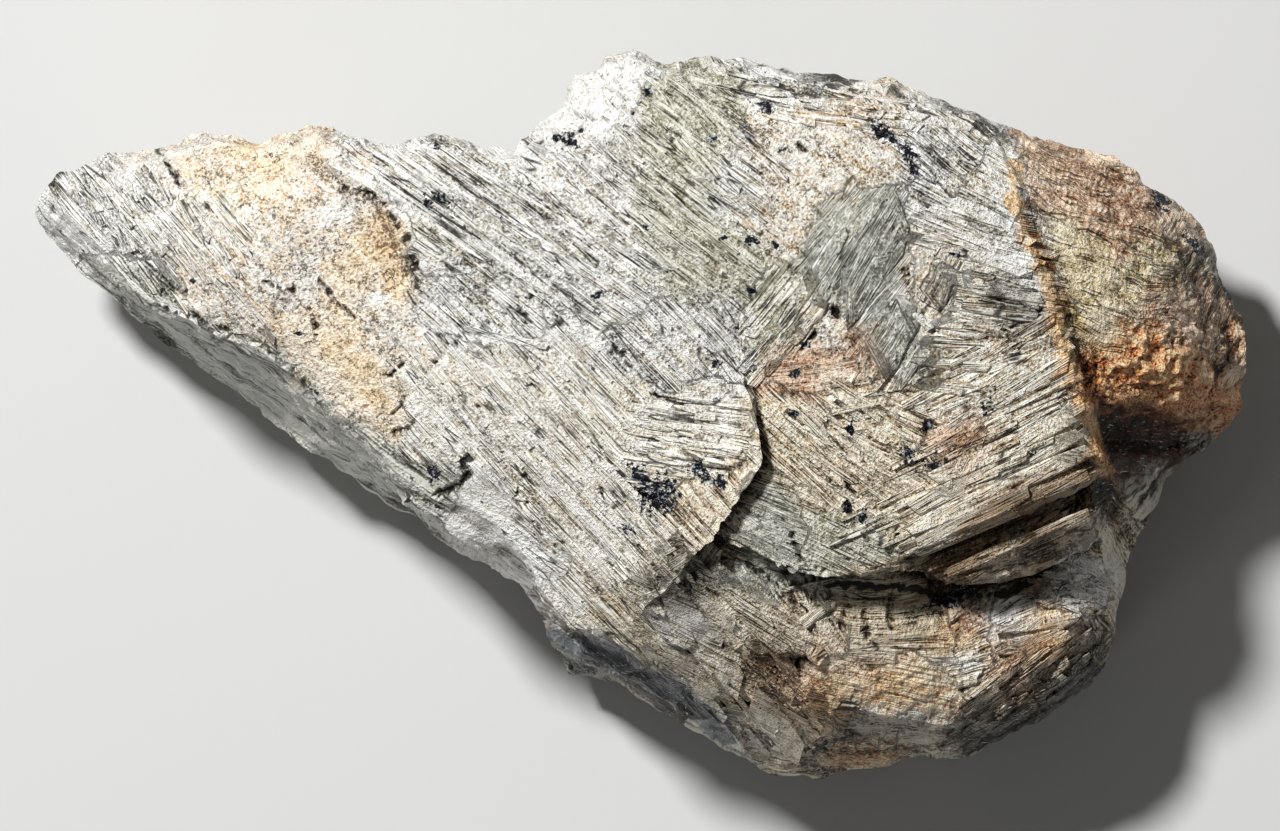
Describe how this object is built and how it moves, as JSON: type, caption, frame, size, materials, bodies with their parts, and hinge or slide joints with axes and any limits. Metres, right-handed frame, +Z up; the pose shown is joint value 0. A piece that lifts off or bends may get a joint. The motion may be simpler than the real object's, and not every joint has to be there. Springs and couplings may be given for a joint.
{
  "type": "wollastonite specimen",
  "caption": "Broken lump of bladed mineral rock with a stepped, fibrous face and a rounded shoulder, lying on its flat underside.",
  "frame": {"origin": "centre of the specimen's box at its base, level with the flat it rests on", "axes": "+X along its length, from the narrow tip towards the rounded shoulder; +Y across it, towards its high back edge; +Z up, out of the broken face"},
  "size_m": [0.1596, 0.0958, 0.0542],
  "materials": {
    "stone": "matt broken stone with silky blades"
  },
  "bodies": {
    "root": {"wollastonite_specimen": "stone"}
  },
  "joints": []
}
